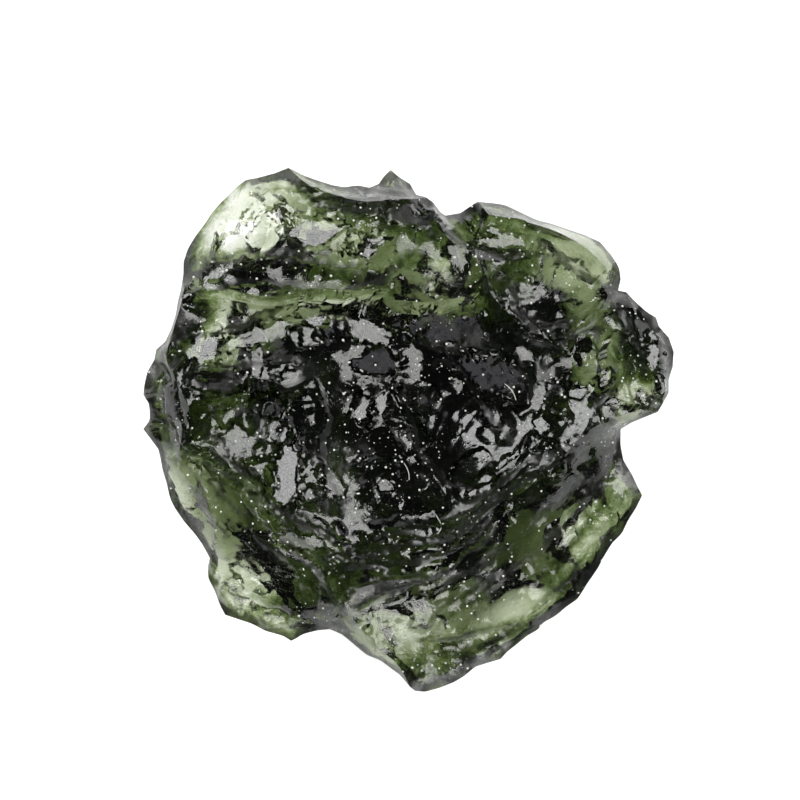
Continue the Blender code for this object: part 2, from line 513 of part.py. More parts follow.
def stone_mesh():
    """Joins the two skins along their common outline."""
    random = np.random.default_rng(SEED)
    outline = stretch(OUTLINE + OUTLINE[:1], EDGE_STEP, False)[:-1]
    upper, upper_faces, upper_rim = upper_skin(outline, random)
    lower, lower_faces, lower_rim = lower_skin(outline, random)
    number = np.arange(len(lower)) + len(upper)
    for k, i in lower_rim.items():
        number[i] = upper_rim[k]
    points = np.concatenate([upper, lower]) * MM
    faces = np.concatenate([upper_faces, number[lower_faces][:, ::-1]])
    mesh = bpy.data.meshes.new("moldavite")
    mesh.from_pydata(points.tolist(), [], faces.tolist())
    shape = bmesh.new()
    shape.from_mesh(mesh)
    loose = [v for v in shape.verts if not v.link_faces]
    bmesh.ops.delete(shape, geom=loose, context="VERTS")
    bmesh.ops.recalc_face_normals(shape, faces=shape.faces)
    shape.to_mesh(mesh)
    shape.free()
    mesh.shade_smooth()
    mesh.set_sharp_from_angle(angle=math.radians(SHARP_ANGLE))
    return mesh


def moldavite_glass():
    """Clear bottle-green natural glass."""
    material = bpy.data.materials.new("moldavite_glass")
    material.use_nodes = True
    shader = material.node_tree.nodes["Principled BSDF"]
    shader.inputs["Base Color"].default_value = (0.16, 0.24, 0.09, 1)
    shader.inputs["Metallic"].default_value = 0.0
    shader.inputs["Roughness"].default_value = 0.12
    shader.inputs["IOR"].default_value = 1.49
    return material


def build():
    for old in list(bpy.data.objects):
        bpy.data.objects.remove(old)
    mesh = stone_mesh()
    mesh.materials.append(moldavite_glass())
    stone = bpy.data.objects.new("moldavite", mesh)
    bpy.context.scene.collection.objects.link(stone)


build()
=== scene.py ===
import math

import bmesh
import bpy
import numpy as np
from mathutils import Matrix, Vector, noise
from mathutils.bvhtree import BVHTree
from mathutils.kdtree import KDTree


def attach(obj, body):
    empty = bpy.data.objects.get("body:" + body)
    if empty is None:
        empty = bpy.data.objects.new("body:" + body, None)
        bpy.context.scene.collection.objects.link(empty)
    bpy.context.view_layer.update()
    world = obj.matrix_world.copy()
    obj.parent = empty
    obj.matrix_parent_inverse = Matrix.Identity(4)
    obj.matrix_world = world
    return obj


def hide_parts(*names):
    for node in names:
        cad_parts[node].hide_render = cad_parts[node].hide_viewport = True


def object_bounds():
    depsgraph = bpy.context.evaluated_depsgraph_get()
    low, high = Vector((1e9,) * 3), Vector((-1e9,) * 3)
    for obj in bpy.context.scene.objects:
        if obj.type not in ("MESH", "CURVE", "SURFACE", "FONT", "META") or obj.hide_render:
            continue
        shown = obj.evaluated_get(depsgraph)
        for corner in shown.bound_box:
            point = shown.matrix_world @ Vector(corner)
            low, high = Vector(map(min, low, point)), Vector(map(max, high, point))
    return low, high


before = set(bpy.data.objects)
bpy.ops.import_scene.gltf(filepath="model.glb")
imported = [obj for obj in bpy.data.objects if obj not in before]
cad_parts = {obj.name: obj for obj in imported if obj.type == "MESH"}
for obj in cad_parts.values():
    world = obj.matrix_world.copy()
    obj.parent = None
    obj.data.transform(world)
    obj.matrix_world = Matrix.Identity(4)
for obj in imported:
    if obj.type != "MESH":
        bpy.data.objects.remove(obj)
cadBox = [list(corner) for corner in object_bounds()]
mm = 0.001


def report(stage):
    print("moldavite:", stage)


# The stone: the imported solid, made finer, smoothed between its crests, then flaked and etched

stone = {
    "node": "moldavite",
    "splits": 2,  # each split makes four triangles of one
    "crestAngle": 22,  # degrees; a sharper edge than this stays a crest
    "sharpAngle": 38,  # degrees; a sharper edge than this is shaded sharp at the end
    "smoothing": 9,  # rounds; each moves a point half way to the mean of its neighbours
    "crestSmoothing": 3,
    "edgeShelter": 0.5 * mm,  # cuts get shallower nearer to the outline than this
    "flakesInside": 0.2 * mm,  # no flake is centred nearer to it than this
    "footShelter": 0.25 * mm,  # cuts from below fade out under this height, so that the foot stays flat
    "steepest": 0.05,  # upward share of the normal; nothing is worked on a wall steeper than this
    "facetShift": (-0.6 * mm, 0.3 * mm),  # how far a facet may sink or rise
    "crestWear": 0.3,  # mm; half the width of the worn strip along a ledge's crest, which is also painted darker as painted shade
    "facetEdge": 0.14,  # how softly a facet blends in, as a share of its size
    "smoothUnder": ((7.0, -6.2), (7.4, 3.2), 38),  # the patch below the right flange that has few pits
    "pitCalm": 0.85,  # how much shallower the pits are there
    "facetCalm": 0.65,  # how much weaker ripples are on a facet
    "calmBelow": -4.5 * mm,  # the flanges lower in the picture than this keep only small flakes on top
    "seed": 5,
}

# Flakes struck off at random, set by set, from the top (side 1) and from below (side -1): how many, their
# half length, half width and depth in mm, and the most that they tilt, in degrees
flakeSets = {
    "large": {"side": 1, "count": 10, "long": (1.4, 2.6), "wide": (0.9, 1.7), "depth": (0.1, 0.26),
              "tilt": 14},
    "medium": {"side": 1, "count": 50, "long": (0.6, 1.3), "wide": (0.4, 0.9), "depth": (0.05, 0.12),
               "tilt": 18},
    "small": {"side": 1, "count": 110, "long": (0.3, 0.6), "wide": (0.2, 0.4), "depth": (0.04, 0.08),
              "tilt": 24},
    "pits": {"side": -1, "count": 160, "long": (0.5, 1.4), "wide": (0.3, 0.9), "depth": (0.06, 0.16),
             "tilt": 10},
    "pinholes": {"side": -1, "count": 400, "long": (0.2, 0.45), "wide": (0.12, 0.3), "depth": (0.03, 0.07),
                 "tilt": 10},
}

# The form of one flake: most are shares of its own half sizes or depth
flakeForm = {
    "edge": 1.25,  # how far from its middle it cuts
    "deepest": 2.2,  # the most that it takes off
    "struckAt": 0.8,  # how far from its middle the end is that its rings spread from
    "rings": 0.10,  # their height, in a flake from the top
    "ringEdge": 1.1,  # how far from its middle they end
    "ringsAcross": 17,  # radians of rings over a half length
}

# Lips, ribbons and folds: how far and how deep the glass falls away, then the line each one follows,
# with the fall on its right-hand side, all in mm
ledges = {
    "rollLip": (1.3, 0.4, (
        (-10.7, 6.7), (-8.6, 7.0), (-6.2, 7.2), (-4.0, 6.8), (-1.5, 6.9), (-0.2, 7.7), (0.6, 9.0))),
    "rollFold": (0.7, 0.16, ((-9.8, 8.0), (-7.6, 8.6), (-5.2, 8.4), (-2.6, 7.9), (-1.0, 8.2))),
    "shelfLip": (1.0, 0.34, ((-10.9, 2.3), (-9.0, 1.9), (-7.0, 2.3), (-5.2, 2.0), (-4.2, 2.7))),
    "shelfBack": (0.6, 0.22, ((-5.0, 6.5), (-6.8, 5.9), (-8.8, 5.0), (-10.9, 4.9))),
    "shelfFold": (0.5, 0.14, ((-10.4, 3.0), (-8.2, 3.1), (-6.0, 3.2), (-4.4, 3.6))),
    "ribbonOuter": (0.6, 0.18, ((-11.0, -1.2), (-11.9, 0.0), (-12.2, 1.4), (-11.9, 3.0), (-11.0, 5.0))),
    "ribbonInner": (0.6, 0.24, ((-10.6, -0.9), (-10.7, 0.3), (-11.0, 1.6), (-11.0, 3.0), (-10.4, 4.4))),
    "ridgeOuter": (0.8, 0.26, (
        (-2.6, -9.6), (-3.3, -8.0), (-4.3, -6.6), (-6.0, -5.2), (-7.4, -3.5), (-9.6, -2.2),
        (-11.6, -1.4))),
    "ridgeInner": (0.6, 0.2, (
        (-2.4, -7.6), (-3.9, -6.2), (-5.6, -4.7), (-7.2, -2.9), (-9.4, -1.6), (-11.2, -0.8))),
    "ridgeCrest": (0.5, 0.16, ((-2.9, -5.6), (-4.4, -4.6), (-5.9, -3.9), (-7.3, -2.3), (-9.2, -1.0))),
    "wallTop": (0.6, 0.18, (
        (9.4, -0.5), (7.0, -1.2), (4.6, -2.7), (2.2, -4.2), (-0.5, -4.9), (-2.8, -5.6))),
    "wallHigh": (0.5, 0.2, (
        (9.5, -0.9), (7.0, -1.9), (4.6, -3.4), (2.6, -5.0), (0.0, -5.6), (-3.0, -6.1), (-5.6, -5.9))),
    "wallMiddle": (0.5, 0.2, ((4.6, -4.2), (3.0, -5.5), (1.5, -6.2), (-1.0, -6.5), (-3.8, -6.6))),
    "wallLow": (0.5, 0.2, ((5.2, -4.3), (3.4, -5.9), (1.8, -7.0), (-0.8, -7.3), (-2.9, -7.9))),
    "wallFoot": (0.5, 0.16, ((-2.4, -8.9), (-1.0, -8.2), (1.0, -7.6), (3.0, -6.8))),
    "browBevel": (0.7, 0.2, (
        (-7.4, 11.6), (-5.6, 11.8), (-3.6, 11.3), (-1.0, 11.0), (1.2, 10.9), (2.2, 9.8), (3.6, 8.8))),
    "browFold": (0.4, 0.12, ((-5.2, 11.2), (-3.0, 10.8), (-0.6, 10.5), (0.9, 10.2), (1.8, 9.2))),
    "scoopRim": (0.9, 0.3, ((10.2, 6.6), (8.9, 5.0), (7.4, 4.4), (5.8, 4.9), (4.7, 6.4), (4.0, 8.6))),
    "scoopFold": (0.5, 0.14, ((9.2, 6.2), (8.2, 5.5), (7.0, 5.3), (6.0, 5.9), (5.4, 7.2))),
    "lobeEdge": (0.6, 0.18, ((10.8, 7.2), (9.2, 7.8), (7.4, 8.8), (5.2, 8.7), (3.6, 9.0))),
    "earInner": (0.5, 0.2, ((10.3, 6.4), (11.2, 5.0), (11.8, 3.4), (11.9, 2.0))),
    "earOuter": (0.7, 0.26, ((9.3, 4.9), (9.9, 3.5), (10.2, 2.2), (9.4, 1.0))),
    "flangeHigh": (0.9, 0.05, ((1.6, -7.8), (4.4, -6.6), (7.2, -4.4), (9.6, -1.9))),
    "flangeMiddle": (0.6, 0.06, ((3.2, -8.3), (6.4, -6.5), (8.8, -4.2), (10.5, -2.0))),
    "flangeLow": (0.5, 0.14, ((0.6, -10.7), (3.0, -10.4), (5.6, -9.6), (7.9, -8.0), (9.6, -6.0))),
    "leftFoldHigh": (0.8, 0.12, ((-11.4, -2.4), (-9.9, -3.6), (-8.9, -5.0), (-8.8, -6.4))),
    "leftFoldLow": (0.8, 0.14, ((-9.6, -2.9), (-8.1, -4.1), (-7.0, -5.6), (-5.4, -6.8))),
    "basinRidge": (0.7, 0.26, ((-4.2, 2.6), (-3.7, 0.9), (-4.1, -1.1), (-3.2, -3.1), (-2.7, -4.4))),
    "middleRidge": (0.8, 0.3, ((-0.3, 2.6), (0.2, 0.6), (0.9, -1.4), (2.5, -2.7), (4.3, -3.1))),
    "farRidge": (0.7, 0.24, ((0.9, 2.6), (2.2, 3.3), (3.6, 1.8), (4.7, 0.0), (5.7, -1.0))),
    "farStep": (0.6, 0.2, ((0.5, 4.4), (2.4, 3.9), (4.8, 4.3), (5.9, 3.2), (6.2, 1.5))),
}

# Mirror-smooth facets, listed one by one: middle, half sizes in mm, turn in degrees, and the lamp they shine
# in
facets = {
    "rollLong": ((-4.0, 9.7), (1.9, 0.8), -14, "left"),
    "rollEnd": ((-1.5, 9.0), (1.1, 0.8), -24, "left"),
    "rollUpper": ((-5.6, 10.6), (0.8, 0.6), -30, "left"),
    "cheekHigh": ((-8.2, 9.9), (1.2, 0.6), 30, "left"),
    "brow": ((0.6, 10.6), (1.3, 0.6), -12, "top"),
    "lipLeft": ((-4.3, 5.7), (0.8, 0.6), -40, "left"),
    "lipRight": ((-1.7, 5.0), (1.3, 0.6), -28, "right"),
    "lipHigh": ((-5.3, 6.4), (0.6, 0.35), 20, "right"),
    "shelfEnd": ((-9.7, 3.9), (1.4, 0.8), 10, "left"),
    "shelfMiddle": ((-6.9, 4.7), (1.7, 0.5), 12, "right"),
    "basinTop": ((-6.8, 1.4), (1.2, 0.6), -24, "left"),
    "basinSquare": ((-6.1, 0.0), (0.6, 0.7), 0, "left"),
    "basinTall": ((-5.6, -2.4), (0.9, 1.5), -8, "left"),
    "basinSlant": ((-7.9, -0.6), (0.6, 0.9), 35, "right"),
    "basinFoot": ((-5.2, -5.5), (1.4, 0.45), -4, "front"),
    "basinStep": ((-3.3, -2.6), (0.4, 0.9), 20, "right"),
    "columnLeft": ((-1.9, 1.0), (0.45, 0.9), -6, "left"),
    "columnRight": ((-0.9, 1.2), (0.3, 0.55), 0, "left"),
    "columnLow": ((-0.8, -2.8), (0.5, 0.4), 10, "front"),
    "middleDark": ((-1.2, 3.4), (1.2, 0.7), 0, "top"),
    "farDark": ((2.6, 5.1), (2.2, 0.9), -6, "top"),
    "farDarkLow": ((4.4, 2.9), (1.6, 1.0), -20, "top"),
    "rightTall": ((6.8, 1.6), (0.4, 0.9), -10, "right"),
    "rightHigh": ((6.0, 3.8), (0.6, 0.5), -40, "right"),
    "rightLow": ((7.0, 0.2), (0.35, 0.5), 0, "left"),
    "windowMiddle": ((1.1, -9.0), (0.7, 0.8), 8, "front"),
    "windowLeft": ((-0.5, -9.3), (0.6, 0.4), 14, "front"),
    "windowRight": ((2.1, -8.2), (0.5, 0.3), 10, "front"),
    "flangeFar": ((8.4, -5.4), (0.7, 0.35), 45, "front"),
    "flangeMiddle": ((7.1, -4.5), (0.6, 0.25), 35, "front"),
    "flangeLeft": ((-8.3, -8.4), (1.0, 0.4), -15, "front"),
    "flangeTip": ((-6.3, -9.4), (0.9, 0.45), -8, "front"),
    "lobe": ((5.0, 9.4), (1.6, 0.6), -20, "right"),
    "ear": ((12.6, 3.9), (0.5, 1.1), 10, "left"),
}

# Ripples that fan out from where a flake was struck: middle, half sizes and turn of the patch, then
# the point they spread from, their spacing and their height, all in mm and degrees
ripples = {
    "wallLines": ((0.0, -5.6), (6.0, 1.9), 8, (-0.5, 5.0), 0.62, 0.1),
    "wallRight": ((6.0, -1.4), (3.8, 0.9), 32, (-0.5, 5.0), 0.58, 0.07),
    "ridgeLines": ((-8.0, -3.0), (4.8, 1.3), -32, (-0.5, 5.0), 0.58, 0.1),
    "rollStreaks": ((-7.6, 3.2), (3.4, 1.4), 0, (-7.0, 30.0), 0.55, 0.09),
    "scoopArcs": ((7.6, 5.6), (2.8, 1.5), 10, (7.4, 8.4), 0.6, 0.08),
    "flangeLines": ((5.0, -6.8), (7.0, 2.8), 35, (-12.0, 18.0), 0.7, 0.04),
    "browLines": ((-2.0, 11.6), (5.0, 0.9), 0, (-2.5, -16.0), 0.5, 0.09),
    "ribbonLines": ((-11.5, 1.8), (3.8, 1.2), 90, (0.0, 2.0), 0.52, 0.1),
    "rollFan": ((-3.6, 9.2), (4.0, 2.2), 0, (-9.5, 12.5), 0.8, 0.06),
    "basinFan": ((-6.0, -1.0), (3.6, 2.6), -20, (-11.5, 2.5), 0.7, 0.08),
    "basinFar": ((3.6, 1.2), (3.8, 2.6), 40, (7.5, -2.5), 0.6, 0.035),
    "leftFolds": ((-8.6, -6.4), (3.5, 2.2), -50, (-2.0, -1.0), 0.9, 0.07),
    "earLines": ((11.6, 3.6), (3.0, 1.6), 80, (4.0, 1.0), 0.6, 0.09),
}

# Noise that tears their edges: size in mm, strength, and a number that picks the pattern
torn = {
    "ripple": ((2.2, 0.9, 0), (0.7, 0.25, 40)),
    "strength": ((1.6, 1.6, 20),),
    "ledge": ((1.1, 0.25, 80), (0.35, 0.12, 0)),
    "facet": ((0.7, 0.45, 60), (0.25, 0.3, 0)),
    "plane": ((0.6, 0.04, 0),),  # how uneven a facet is, in mm
}


def sidesOf(triangles):
    sides = np.concatenate([triangles[:, [0, 1]], triangles[:, [1, 2]], triangles[:, [2, 0]]])
    return np.sort(sides, axis=1)


def split(points, triangles):
    # four triangles of one, by the middles of its edges; gives each edge's middle too
    ends, which = np.unique(sidesOf(triangles), axis=0, return_inverse=True)
    middles = {(a, b): len(points) + i for i, (a, b) in enumerate(map(tuple, ends))}
    ab, bc, ca = which.reshape(3, -1) + len(points)
    a, b, c = triangles.T
    points = np.concatenate([points, points[ends].mean(1)])
    faces = [(a, ab, ca), (ab, b, bc), (ca, bc, c), (ab, bc, ca)]
    return points, np.concatenate([np.stack(face, 1) for face in faces]), middles


def faceNormals(points, triangles):
    a, b, c = points[triangles].transpose(1, 0, 2)
    return np.cross(b - a, c - a)


def pointNormals(points, triangles):
    across = faceNormals(points, triangles)
    normals = np.zeros_like(points)
    for corner in range(3):
        np.add.at(normals, triangles[:, corner], across)
    return normals / np.linalg.norm(normals, axis=1)[:, None]


def edgesOf(triangles):
    # every edge, with the two triangles that share it
    ends = sidesOf(triangles)
    owner = np.tile(np.arange(len(triangles)), 3)
    order = np.lexsort((ends[:, 1], ends[:, 0]))
    return ends[order][::2], owner[order].reshape(-1, 2)


def relax(points, ends, held, rounds, share):
    # moves each point towards the mean of its neighbours along these edges
    a, b = ends.T
    count = np.bincount(a, minlength=len(points)) + np.bincount(b, minlength=len(points))
    moving = (~held) & (count > 0)
    for _ in range(rounds):
        total = np.zeros_like(points)
        for axis in range(3):
            total[:, axis] += np.bincount(a, points[b, axis], len(points))
            total[:, axis] += np.bincount(b, points[a, axis], len(points))
        mean = total[moving] / count[moving, None]
        points[moving] += share * (mean - points[moving])


def stoneMesh():
    # the solid made finer and smoothed, with its outline and its crests kept
    source = bmesh.new()
    source.from_mesh(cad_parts[stone["node"]].data)
    bmesh.ops.remove_doubles(source, verts=source.verts, dist=0.001 * mm)
    points = np.array([v.co for v in source.verts])
    triangles = np.array([[v.index for v in f.verts] for f in source.faces])
    source.free()

    ends, owners = edgesOf(triangles)
    across = faceNormals(points, triangles)
    across /= np.linalg.norm(across, axis=1)[:, None]
    turn = (across[owners[:, 0]] * across[owners[:, 1]]).sum(1)
    crest = turn < math.cos(math.radians(stone["crestAngle"]))
    rim = across[owners[:, 0], 2] * across[owners[:, 1], 2] <= 0
    crest |= rim
    crestEnds = ends[crest]
    rimEnds = ends[rim]
    for _ in range(stone["splits"]):
        points, triangles, middles = split(points, triangles)
        crestEnds = halved(crestEnds, middles)
        rimEnds = halved(rimEnds, middles)
    report(f"{len(triangles)} triangles")
    ends, _ = edgesOf(triangles)
    onCrest = np.zeros(len(points), bool)
    onCrest[crestEnds.ravel()] = True
    uses = np.bincount(crestEnds.ravel(), minlength=len(points))
    corners = (uses != 2) & onCrest
    flat = points[:, 2] < 0.001 * mm
    relax(points, crestEnds, corners | flat, stone["crestSmoothing"], 0.5)
    relax(points, ends, onCrest | flat, stone["smoothing"], 0.5)
    return points, triangles, np.unique(rimEnds)


def halved(lines, middles):
    # the same lines after a split
    halves = []
    for a, b in map(tuple, lines):
        m = middles[(min(a, b), max(a, b))]
        halves += [(a, m), (m, b)]
    return np.array(halves)


def waver(points, size, seed):
    # smooth noise around 0 at every point
    shift = Vector((seed, 2.3 * seed, 1.7))
    return np.array([noise.noise(Vector(p) / size + shift) for p in points])


def tear(points, kind, number):
    # the noise that tears the edges of one kind of form
    return sum(share * waver(points, size * mm, number + seed) for size, share, seed in torn[kind])


def inPatch(points, middle, half, degrees):
    # where each point lies in a turned patch, as shares of its half sizes
    turn = math.radians(degrees)
    away = points[:, :2] / mm - middle
    lengthways = away @ (math.cos(turn), math.sin(turn))
    sideways = away @ (-math.sin(turn), math.cos(turn))
    return lengthways / half[0], sideways / half[1]


def ripple(points, triangles, allowed):
    # cuts the fans of fine ripples into the top
    normals = pointNormals(points, triangles)
    for number, (middle, half, degrees, source, spacing, height) in enumerate(ripples.values()):
        strength = np.clip(3 * (1 - np.hypot(*inPatch(points, middle, half, degrees))), 0, 1)
        inside = np.flatnonzero((strength > 0) & (normals[:, 2] > stone["steepest"]))
        found = points[inside]
        phase = np.hypot(*(found[:, :2] / mm - source).T) / spacing + tear(found, "ripple", number)
        hollow = 1 - (2 * (phase % 1) - 1) ** 2  # sharp crests with hollows between them
        patchy = np.clip(0.9 + tear(found, "strength", number), 0, 1)
        cut = height * mm * hollow * strength[inside] * patchy * allowed[inside]
        points[inside] -= cut[:, None] * normals[inside]
    report(f"{len(ripples)} patches of ripples")


def throughPoints(line):
    # a smooth line through the given points, 8 short runs from each to the next
    line = np.array(line)
    padded = np.concatenate([[2 * line[0] - line[1]], line, [2 * line[-1] - line[-2]]])
    a, b, c, d = padded[:-3, None], padded[1:-2, None], padded[2:-1, None], padded[3:, None]
    t = np.linspace(0, 1, 8, endpoint=False)[None, :, None]
    smooth = b + 0.5 * t * (c - a + t * (2 * a - 5 * b + 4 * c - d + t * (3 * (b - c) + d - a)))
    return np.concatenate([smooth.reshape(-1, 2), line[-1:]])


def besideLine(flat, line):
    # how far each point lies to the right of a line, and how far along it, from 0 to 1
    run = np.diff(line, axis=0)
    away = flat[:, None] - line[:-1]
    along = np.clip((away * run).sum(2) / (run**2).sum(1), 0, 1)
    gap = away - along[..., None] * run
    distance = np.hypot(gap[..., 0], gap[..., 1])
    nearest = distance.argmin(1)
    row = np.arange(len(flat))
    away = away[row, nearest]
    across = run[nearest, 0] * away[:, 1] - run[nearest, 1] * away[:, 0]
    right = np.where(across < 0, 1, -1) * distance[row, nearest]
    return right, (nearest + along[row, nearest]) / len(run)


def ledge(points, triangles, allowed):
    # drops the glass on one side of each line; gives how near each point is to a crest
    crest = np.zeros(len(points))
    upper = pointNormals(points, triangles)[:, 2] > stone["steepest"]
    flat = points[:, :2] / mm
    for number, (width, depth, line) in enumerate(ledges.values()):
        line = throughPoints(line)
        near = ((flat > line.min(0) - width) & (flat < line.max(0) + width)).all(1)
        inside = np.flatnonzero(upper & near)
        right, share = besideLine(flat[inside], line)
        right += tear(points[inside], "ledge", number)
        taper = np.clip(7 * np.minimum(share, 1 - share), 0, 1)  # it runs out at both ends
        fall = depth * mm * np.clip(1 - right / width, 0, 1) ** 1.5 * (right > 0)
        points[inside, 2] -= fall * taper * allowed[inside]
        wornAndShadedEdge = np.clip(1 - np.abs(right + 0.4 * stone["crestWear"]) / stone["crestWear"], 0, 1) * taper
        crest[inside] = np.maximum(crest[inside], wornAndShadedEdge)
    report(f"{len(ledges)} ledges")
    return crest


def facet(points, triangles, allowed):
    # tips each named patch of the top so that it mirrors its lamp; gives where they are
    faceted = np.zeros(len(points))
    upper = pointNormals(points, triangles)[:, 2] > stone["steepest"]
    for number, (middle, half, degrees, lamp) in enumerate(facets.values()):
        u, v = np.abs(inPatch(points, middle, half, degrees))
        reach = (u**3 + v**3) ** (1 / 3)  # between an ellipse and a rectangle
        inside = np.flatnonzero(upper & (reach < 1.5))
        found = points[inside]
        edge = 1 - reach[inside] - tear(found, "facet", number)
        strength = np.clip(edge / stone["facetEdge"], 0, 1) * allowed[inside]
        normal = Vector(lamps[lamp]["at"]).normalized() + Vector((0, 0, 1))
        slope = -np.array(normal.xy) / normal.z
        level = np.median(found[:, 2][strength > 0.5])
        plane = level + (found[:, :2] - np.multiply(middle, mm)) @ slope + tear(found, "plane", number) * mm
        deepest, highest = stone["facetShift"]
        points[inside, 2] += strength * np.clip(plane - found[:, 2], deepest, highest)
        faceted[inside] = np.maximum(faceted[inside], strength)
    report(f"{len(facets)} facets")
    return faceted


def tilted(normal, most, random):
    # a flake's own normal, tilted off the surface's at random, and the way its long side runs
    tilt = math.tan(math.radians(random.uniform(0, most)))
    stray = random.normal(size=3)
    stray -= stray @ normal * normal
    normal = normal + tilt * stray / np.linalg.norm(stray)
    normal /= np.linalg.norm(normal)
    longWay = np.cross(normal, random.normal(size=3))
    return normal, longWay / np.linalg.norm(longWay)


def strike(points, centre, normal, longWay, long, wide, depth, rings, allowed):
    # cuts away whatever stands above a shallow bowl, as one flake struck off
    side = np.cross(normal, longWay)
    near = np.flatnonzero((np.abs(points - centre) < 1.5 * long).all(1))
    away = points[near] - centre
    u = away @ longWay / long
    v = away @ side / wide
    reach = np.hypot(u, v)
    ring = np.cos(flakeForm["ringsAcross"] * np.hypot(u + flakeForm["struckAt"], v * 0.9))
    bowl = -depth * (1 - reach**2) + rings * depth * ring * (reach < flakeForm["ringEdge"])
    cut = np.clip(away @ normal - bowl, 0, flakeForm["deepest"] * depth) * (reach < flakeForm["edge"])
    points[near] -= (cut * allowed[near])[:, None] * normal


def flake(points, triangles, rimPoints):
    # cuts every small form in turn; gives how far each point is from the outline, and the worn crests, which
    # are also painted darker
    random = np.random.default_rng(stone["seed"])
    tree = KDTree(len(rimPoints))
    for i in rimPoints:
        tree.insert(points[i], i)
    tree.balance()
    rimAway = np.array([tree.find(p)[2] for p in points])
    allowed = np.clip(rimAway / stone["edgeShelter"], 0, 1)
    crest = ledge(points, triangles, allowed)
    faceted = facet(points, triangles, allowed)
    ripple(points, triangles, allowed * (1 - stone["facetCalm"] * faceted))
    normals = pointNormals(points, triangles)
    smooth = np.clip(3 * (1 - np.hypot(*inPatch(points, *stone["smoothUnder"]))), 0, 1)
    pitted = 1 - stone["pitCalm"] * smooth
    for name, flakes in flakeSets.items():
        below = flakes["side"] < 0
        facing = normals[:, 2] * flakes["side"] > -0.1
        spots = np.flatnonzero(facing & (rimAway > stone["flakesInside"]))
        if below:
            spots = spots[points[spots, 2] > stone["footShelter"]]
        elif name != "small":
            spots = spots[points[spots, 1] > stone["calmBelow"]]
        for spot in random.choice(spots, flakes["count"], replace=False):
            normal, longWay = tilted(normals[spot], flakes["tilt"], random)
            long = random.uniform(*flakes["long"]) * mm
            wide = min(long, random.uniform(*flakes["wide"]) * mm)
            depth = random.uniform(*flakes["depth"]) * mm
            if below:
                room = np.clip(points[:, 2] / stone["footShelter"] - 0.2, 0, 1) * pitted
            else:
                room = 1 - faceted
            rings = 0 if below else flakeForm["rings"]
            strike(points, points[spot].copy(), normal, longWay, long, wide, depth, rings, allowed * room)
        report(f"{flakes['count']} {name} flakes")
    return rimAway, crest


def makeStone():
    points, triangles, rimPoints = stoneMesh()
    rimAway, crest = flake(points, triangles, rimPoints)
    low, high = np.array(cadBox)
    points = np.clip(points, low, high)
    mesh = bpy.data.meshes.new("moldaviteStone")
    mesh.from_pydata(points.tolist(), [], triangles.tolist())
    # painted light and shade, and the worn edge, stored on the points
    setPaintedShadeAndLight(mesh, points, rimAway, crest)
    mesh.shade_smooth()
    mesh.set_sharp_from_angle(angle=math.radians(stone["sharpAngle"]))
    piece = bpy.data.objects.new("moldaviteStone", mesh)
    bpy.context.scene.collection.objects.link(piece)
    return piece


# Glass

glass = {
    "ior": 1.49,
    "absorption": (0.37, 0.45, 0.19),
    "density": 1120.0,  # per metre
    "chips": ((1.1, 0.05, 0.16), (0.34, 0.035, 0.28)),  # mm, slope on top, slope below
    "chipWander": 1.6,  # mm; how far noise drags the outlines of the chips about
    "wanderScale": 700.0,  # waves per metre
    "grain": 0.09,  # mm
    "grainHeight": 0.0045,  # mm
    "polish": (0.015, 0.32),  # roughness, from fresh to etched
    "etching": (0.45, 0.72),  # the noise that goes from fresh to etched
    "etchScale": 520.0,  # its waves per metre
    "wear": 0.40,  # how far the outline's edge goes from fresh to etched
    "underWear": 0.08,  # the same for the underside
    "sheen": (0.06, 0.30),  # the etched skin over it: weight and roughness
}

# Painted shade: the glass's tint painted darker where shade falls, thick in the middle, thin under the
# windows, with painted light where light comes through
paintedShade = {
    "start": 0.18,  # what there is everywhere
    "basin": (
        (-11.6, 0.6), (-11.0, -0.9), (-9.3, -1.9), (-7.3, -3.0), (-5.9, -4.9), (-4.0, -6.5), (-2.6, -8.3),
        (0.6, -7.4), (3.0, -6.0), (5.5, -3.7), (8.0, -2.0), (10.0, -0.4), (10.5, 2.0), (9.9, 5.0),
        (7.6, 6.6), (4.0, 6.4), (0.0, 6.2), (-4.0, 6.0), (-7.6, 4.8), (-10.6, 4.6), (-11.6, 2.8),
        (-11.6, 0.6),
    ),
    "basinEdge": (0.7, 0.45),  # mm over which it thickens inside the basin, and by how much
    "rim": (0.7, 0.45),  # mm in from the outline where it starts to thicken, and by how much at the edge
    "tear": (1.3, 4.0, 0.36),  # noise that tears its edges: size in mm, detail and strength
    "edge": (0.05, 0.95),  # the amounts that leave the glass clear and make it darkest
    "olive": (0.24, 0.31, 0.13),
    "oliveAt": 0.5,  # share of the way from clear to darkest
    "dark": (0.010, 0.016, 0.006),
}
